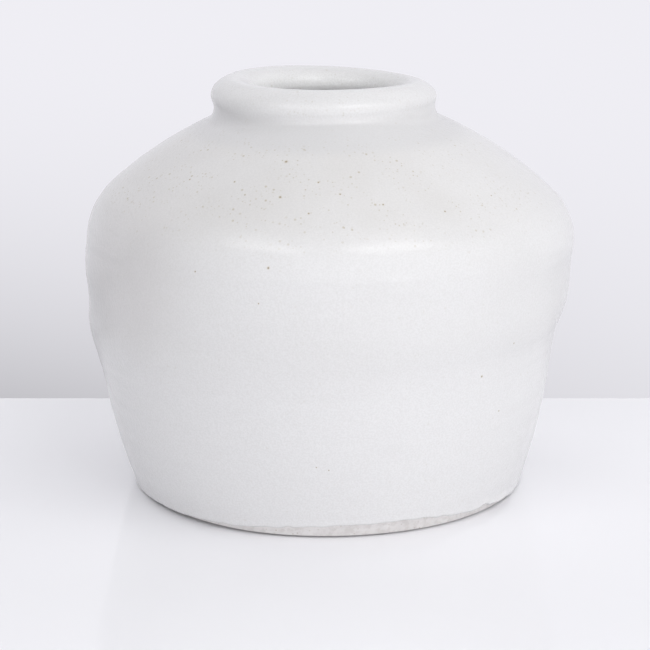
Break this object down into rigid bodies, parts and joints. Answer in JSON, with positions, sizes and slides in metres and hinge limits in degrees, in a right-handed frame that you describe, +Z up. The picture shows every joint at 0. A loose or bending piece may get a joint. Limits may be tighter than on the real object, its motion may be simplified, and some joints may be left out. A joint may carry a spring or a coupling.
{
  "type": "jar",
  "caption": "Squat white glazed jar with high round shoulders, a short neck with a thick rolled lip, and a broad unglazed foot, for display, storage or flowers.",
  "frame": {"origin": "centre of the foot's flat ring, on the surface that the jar stands on", "axes": "+Z up along the axis that the jar is turned about, +X to the right in the picture's view, -Y towards its viewer"},
  "size_m": [0.165, 0.165, 0.1385],
  "materials": {
    "glazed_clay": "satin off-white glaze with fine iron specks, bare at the foot",
    "slip": "fired slip, hidden in the joints"
  },
  "bodies": {
    "root": {"lower_bowl": "glazed_clay", "upper_bowl": "glazed_clay", "rim_collar": "glazed_clay", "belly_slip": "slip", "collar_slip": "slip"}
  },
  "joints": []
}
